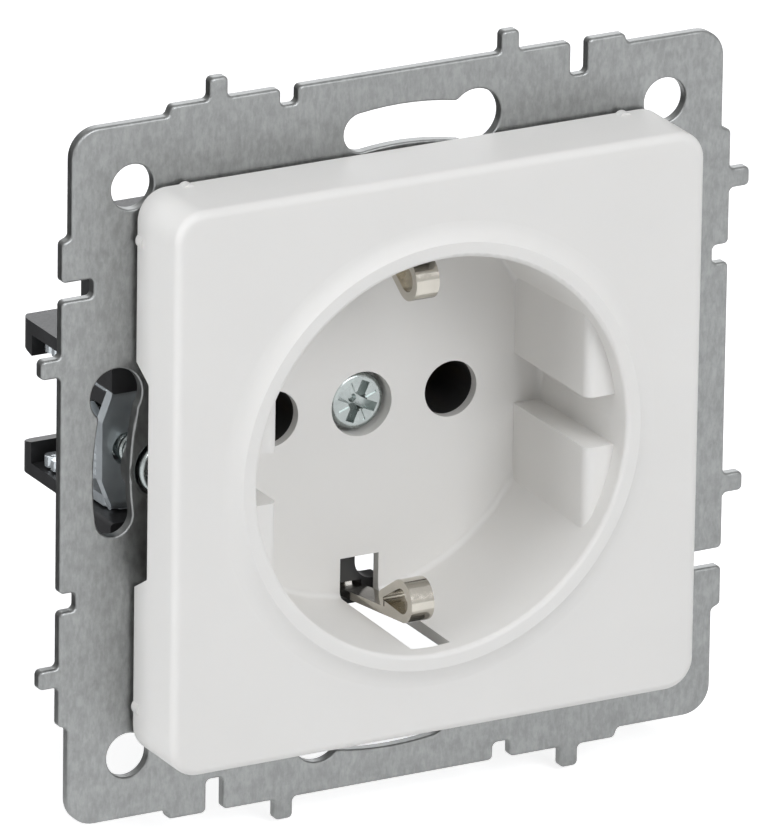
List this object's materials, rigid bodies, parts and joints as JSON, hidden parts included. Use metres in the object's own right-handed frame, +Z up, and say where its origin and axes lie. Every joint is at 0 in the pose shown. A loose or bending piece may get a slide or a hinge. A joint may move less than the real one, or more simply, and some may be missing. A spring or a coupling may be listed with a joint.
{
  "type": "type f wall socket",
  "caption": "Flush wall socket with round earthed recess, square white cover, stamped steel mounting frame, black mechanism and spreading claws.",
  "frame": {"origin": "centre of the steel frame, on its wall side", "axes": "+X to the right seen from the front, +Y into the wall, +Z up"},
  "size_m": [0.0748, 0.0416, 0.0748],
  "materials": {
    "galvanised_steel": "zinc coated sheet, satin",
    "white_moulding": "smooth, half gloss",
    "black_moulding": "moulded, satin",
    "plated_strip": "nickel plated strip",
    "contact_brass": "bare stamped brass",
    "spring_steel": "zinc coated steel",
    "zinc_screw": "zinc plated",
    "claw_zinc": "zinc coated, stamped"
  },
  "bodies": {
    "socket": {"support_frame": "galvanised_steel", "cover_plate": "white_moulding", "well_floor": "white_moulding", "cover_screw": "zinc_screw", "earth_strap": "plated_strip", "strap_nut": "zinc_screw", "mechanism_base": "black_moulding", "corner_columns": "black_moulding", "claw_guide_left": "black_moulding", "claw_guide_right": "black_moulding", "pin_sleeve_left": "black_moulding", "pin_sleeve_right": "black_moulding", "rear_cover": "black_moulding", "rear_cover_screws": "zinc_screw", "frame_rivets": "zinc_screw", "live_contact_left": "contact_brass", "live_contact_right": "contact_brass", "contact_spring_left": "spring_steel", "contact_spring_right": "spring_steel", "terminal_clamp_left": "spring_steel", "terminal_clamp_right": "spring_steel", "terminal_clamp_earth": "spring_steel", "terminal_screw_left": "zinc_screw", "terminal_screw_right": "zinc_screw", "terminal_screw_earth": "zinc_screw"},
    "claw_left": {"claw_left": "claw_zinc"},
    "claw_right": {"claw_right": "claw_zinc"},
    "claw_screw_left": {"claw_screw_left": "zinc_screw"},
    "claw_screw_right": {"claw_screw_right": "zinc_screw"}
  },
  "joints": [
    {"name": "claw_screw_right_turn", "type": "hinge", "parent": "socket", "child": "claw_screw_right", "pos_m": [0.0246, 0.001, 0], "axis": [0, 1, 0], "range_deg": [0, 720]},
    {"name": "claw_right_tip", "type": "hinge", "parent": "socket", "child": "claw_right", "pos_m": [0.0216, 0.0056, 0], "axis": [0, 0, -1], "range_deg": [0, 20]},
    {"name": "claw_screw_left_turn", "type": "hinge", "parent": "socket", "child": "claw_screw_left", "pos_m": [-0.0246, 0.001, 0], "axis": [0, 1, 0], "range_deg": [0, 720]},
    {"name": "claw_left_tip", "type": "hinge", "parent": "socket", "child": "claw_left", "pos_m": [-0.0216, 0.0056, 0], "axis": [0, 0, 1], "range_deg": [0, 20]}
  ],
  "couplings": [
    {"joint": "claw_right_tip", "follows": "claw_screw_right_turn", "ratio": 0.0277},
    {"joint": "claw_left_tip", "follows": "claw_screw_left_turn", "ratio": 0.0277}
  ]
}
